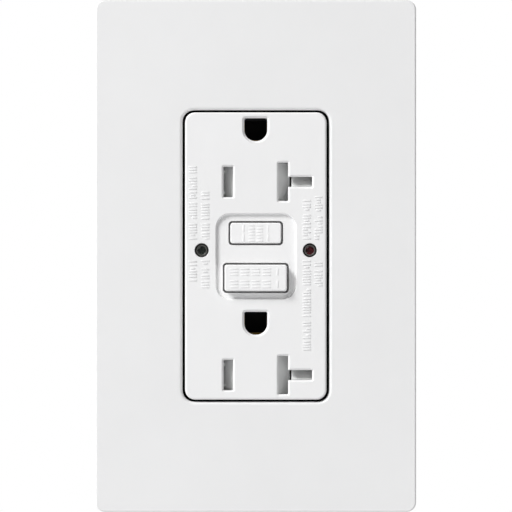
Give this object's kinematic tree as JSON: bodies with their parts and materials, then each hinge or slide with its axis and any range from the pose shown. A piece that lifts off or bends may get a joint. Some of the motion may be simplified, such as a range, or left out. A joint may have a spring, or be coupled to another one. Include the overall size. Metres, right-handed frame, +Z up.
{
  "type": "gfci outlet",
  "caption": "Tamper-resistant duplex ground-fault receptacle with sideways neutral slots, test and reset buttons, status lenses and a screwless press-on cover plate.",
  "frame": {"origin": "middle of the wall plane, on which the strap's ears and the cover plate's rim rest", "axes": "+X right and +Z up as one faces the wall, +Y into the wall; the buttons face -Y"},
  "size_m": [0.0746, 0.0374, 0.119],
  "materials": {
    "white_plastic": "satin moulded thermoplastic, white",
    "adapter_plastic": "matte moulded thermoplastic, off-white",
    "shutter_plastic": "matte moulded nylon, grey",
    "housing_plastic": "matte glass-filled thermoplastic, near black",
    "bobbin_plastic": "natural nylon",
    "zinc_steel": "zinc-plated stamped steel",
    "brass": "stamped and tumbled brass",
    "nickel": "nickel-plated brass",
    "spring_steel": "drawn spring steel",
    "green_screw": "green dichromate over zinc-plated steel",
    "copper_winding": "enamelled copper wire, wound",
    "circuit_board": "glass-epoxy board, green solder mask",
    "varistor_epoxy": "dipped epoxy, blue",
    "capacitor_case": "moulded box, amber",
    "smoke_lens": "smoked clear polycarbonate",
    "lamp_lens": "clear epoxy"
  },
  "bodies": {
    "device": {"adapter_plate": "adapter_plastic", "adapter_screw_upper": "zinc_steel", "adapter_screw_lower": "zinc_steel", "box_screw_upper": "zinc_steel", "box_screw_lower": "zinc_steel", "mounting_strap": "zinc_steel", "upper_ground_contact": "brass", "lower_ground_contact": "brass", "face_cover": "white_plastic", "reset_spring": "spring_steel", "status_light_pipe": "smoke_lens", "fault_light_pipe": "smoke_lens", "status_led": "lamp_lens", "fault_led": "lamp_lens", "upper_shutter_spring": "spring_steel", "lower_shutter_spring": "spring_steel", "middle_housing": "housing_plastic", "rear_housing": "housing_plastic", "hot_contact_strip": "brass", "neutral_contact_strip": "nickel", "hot_line_terminal": "brass", "neutral_line_terminal": "nickel", "solenoid_bobbin": "bobbin_plastic", "solenoid_coil": "copper_winding", "solenoid_frame": "zinc_steel", "circuit_board": "circuit_board", "sensor_boat": "bobbin_plastic", "sensor_coil_front": "copper_winding", "sensor_coil_rear": "copper_winding", "surge_varistor": "varistor_epoxy", "filter_capacitor": "capacitor_case", "housing_screw_upper_left": "zinc_steel", "housing_screw_upper_right": "zinc_steel", "housing_screw_lower_left": "zinc_steel", "housing_screw_lower_right": "zinc_steel"},
    "cover": {"cover_plate": "white_plastic"},
    "test_button": {"test_button": "white_plastic"},
    "reset_button": {"reset_button": "white_plastic", "reset_shaft": "spring_steel"},
    "test_arm": {"test_contact_arm": "brass"},
    "contact_carriage": {"contact_carriage": "bobbin_plastic"},
    "latch_plate": {"latch_plate": "zinc_steel"},
    "plunger": {"plunger": "spring_steel"},
    "hot_arm": {"hot_contact_arm": "brass"},
    "neutral_arm": {"neutral_contact_arm": "nickel"},
    "ground_screw": {"ground_screw": "green_screw"},
    "upper_hot_shutter": {"upper_hot_shutter": "shutter_plastic"},
    "upper_neutral_shutter": {"upper_neutral_shutter": "shutter_plastic"},
    "upper_cross_shutter": {"upper_cross_shutter": "shutter_plastic"},
    "lower_hot_shutter": {"lower_hot_shutter": "shutter_plastic"},
    "lower_neutral_shutter": {"lower_neutral_shutter": "shutter_plastic"},
    "lower_cross_shutter": {"lower_cross_shutter": "shutter_plastic"},
    "hot_load_screw": {"hot_load_screw": "brass"},
    "hot_load_clamp": {"hot_load_clamp": "zinc_steel"},
    "hot_line_screw": {"hot_line_screw": "brass"},
    "hot_line_clamp": {"hot_line_clamp": "zinc_steel"},
    "neutral_load_screw": {"neutral_load_screw": "nickel"},
    "neutral_load_clamp": {"neutral_load_clamp": "zinc_steel"},
    "neutral_line_screw": {"neutral_line_screw": "nickel"},
    "neutral_line_clamp": {"neutral_line_clamp": "zinc_steel"}
  },
  "joints": [
    {"name": "cover_pull", "type": "slide", "parent": "device", "child": "cover", "axis": [0, -1, 0], "range_m": [0, 0.012]},
    {"name": "test_press", "type": "slide", "parent": "device", "child": "test_button", "axis": [0, 1, 0], "range_m": [0, 0.0012], "stiffness_N_per_m": 150, "springref_m": -0.001},
    {"name": "test_arm_flex", "type": "hinge", "parent": "device", "child": "test_arm", "pos_m": [0, 0.00255, 0.0135], "axis": [1, 0, 0], "range_deg": [0, 8.45]},
    {"name": "reset_press", "type": "slide", "parent": "device", "child": "reset_button", "axis": [0, 1, 0], "range_m": [0, 0.0028], "stiffness_N_per_m": 200, "springref_m": -0.002, "deforming": ["reset_spring"]},
    {"name": "contacts_close", "type": "slide", "parent": "device", "child": "contact_carriage", "axis": [0, -1, 0], "range_m": [0, 0.0014], "stiffness_N_per_m": 100, "springref_m": -0.001},
    {"name": "hot_arm_flex", "type": "hinge", "parent": "device", "child": "hot_arm", "pos_m": [-0.008, 0.0137, -0.026], "axis": [1, 0, 0], "range_deg": [0, 3.45]},
    {"name": "neutral_arm_flex", "type": "hinge", "parent": "device", "child": "neutral_arm", "pos_m": [0.008, 0.0137, -0.026], "axis": [1, 0, 0], "range_deg": [0, 3.45]},
    {"name": "plunger_trip", "type": "slide", "parent": "device", "child": "plunger", "axis": [0, 0, -1], "range_m": [0, 0.0009], "stiffness_N_per_m": 60, "springref_m": -0.001},
    {"name": "latch_slide", "type": "slide", "parent": "contact_carriage", "child": "latch_plate", "axis": [0, 0, -1], "range_m": [0, 0.0009]},
    {"name": "ground_screw_turn", "type": "hinge", "parent": "device", "child": "ground_screw", "pos_m": [-0.0146, 0.0055, -0.041], "axis": [-1, 0, 0], "range_deg": [-360, 360]},
    {"name": "upper_hot_shutter_slide", "type": "slide", "parent": "device", "child": "upper_hot_shutter", "axis": [1, 0, 0], "range_m": [0, 0.0027], "stiffness_N_per_m": 20, "springref_m": -0.003, "deforming": ["upper_shutter_spring"]},
    {"name": "upper_neutral_shutter_slide", "type": "slide", "parent": "device", "child": "upper_neutral_shutter", "axis": [-1, 0, 0], "range_m": [0, 0.0027]},
    {"name": "upper_cross_shutter_slide", "type": "slide", "parent": "device", "child": "upper_cross_shutter", "axis": [0, 0, -1], "range_m": [0, 0.0029], "stiffness_N_per_m": 20, "springref_m": -0.003},
    {"name": "lower_hot_shutter_slide", "type": "slide", "parent": "device", "child": "lower_hot_shutter", "axis": [1, 0, 0], "range_m": [0, 0.0027], "stiffness_N_per_m": 20, "springref_m": -0.003, "deforming": ["lower_shutter_spring"]},
    {"name": "lower_neutral_shutter_slide", "type": "slide", "parent": "device", "child": "lower_neutral_shutter", "axis": [-1, 0, 0], "range_m": [0, 0.0027]},
    {"name": "lower_cross_shutter_slide", "type": "slide", "parent": "device", "child": "lower_cross_shutter", "axis": [0, 0, -1], "range_m": [0, 0.0029], "stiffness_N_per_m": 20, "springref_m": -0.003},
    {"name": "hot_load_screw_turn", "type": "hinge", "parent": "device", "child": "hot_load_screw", "pos_m": [-0.0182, 0.016, 0.018], "axis": [-1, 0, 0], "range_deg": [-360, 360]},
    {"name": "hot_load_clamp_slide", "type": "slide", "parent": "device", "child": "hot_load_clamp", "axis": [1, 0, 0], "range_m": [-0.00079, 0.00079]},
    {"name": "hot_line_screw_turn", "type": "hinge", "parent": "device", "child": "hot_line_screw", "pos_m": [-0.0182, 0.016, -0.018], "axis": [-1, 0, 0], "range_deg": [-360, 360]},
    {"name": "hot_line_clamp_slide", "type": "slide", "parent": "device", "child": "hot_line_clamp", "axis": [1, 0, 0], "range_m": [-0.00079, 0.00079]},
    {"name": "neutral_load_screw_turn", "type": "hinge", "parent": "device", "child": "neutral_load_screw", "pos_m": [0.0182, 0.016, 0.018], "axis": [1, 0, 0], "range_deg": [-360, 360]},
    {"name": "neutral_load_clamp_slide", "type": "slide", "parent": "device", "child": "neutral_load_clamp", "axis": [-1, 0, 0], "range_m": [-0.00079, 0.00079]},
    {"name": "neutral_line_screw_turn", "type": "hinge", "parent": "device", "child": "neutral_line_screw", "pos_m": [0.0182, 0.016, -0.018], "axis": [1, 0, 0], "range_deg": [-360, 360]},
    {"name": "neutral_line_clamp_slide", "type": "slide", "parent": "device", "child": "neutral_line_clamp", "axis": [-1, 0, 0], "range_m": [-0.00079, 0.00079]}
  ],
  "couplings": [
    {"joint": "test_arm_flex", "follows": "test_press", "rad_per_m": 121.9},
    {"joint": "hot_arm_flex", "follows": "contacts_close", "rad_per_m": 42.86},
    {"joint": "neutral_arm_flex", "follows": "contacts_close", "rad_per_m": 42.86},
    {"joint": "latch_slide", "follows": "plunger_trip", "ratio": 1},
    {"joint": "upper_neutral_shutter_slide", "follows": "upper_hot_shutter_slide", "ratio": 1},
    {"joint": "lower_neutral_shutter_slide", "follows": "lower_hot_shutter_slide", "ratio": 1},
    {"joint": "hot_load_screw_turn", "follows": "hot_load_clamp_slide", "rad_per_m": 7915.8},
    {"joint": "hot_line_screw_turn", "follows": "hot_line_clamp_slide", "rad_per_m": 7915.8},
    {"joint": "neutral_load_screw_turn", "follows": "neutral_load_clamp_slide", "rad_per_m": 7915.8},
    {"joint": "neutral_line_screw_turn", "follows": "neutral_line_clamp_slide", "rad_per_m": 7915.8}
  ]
}
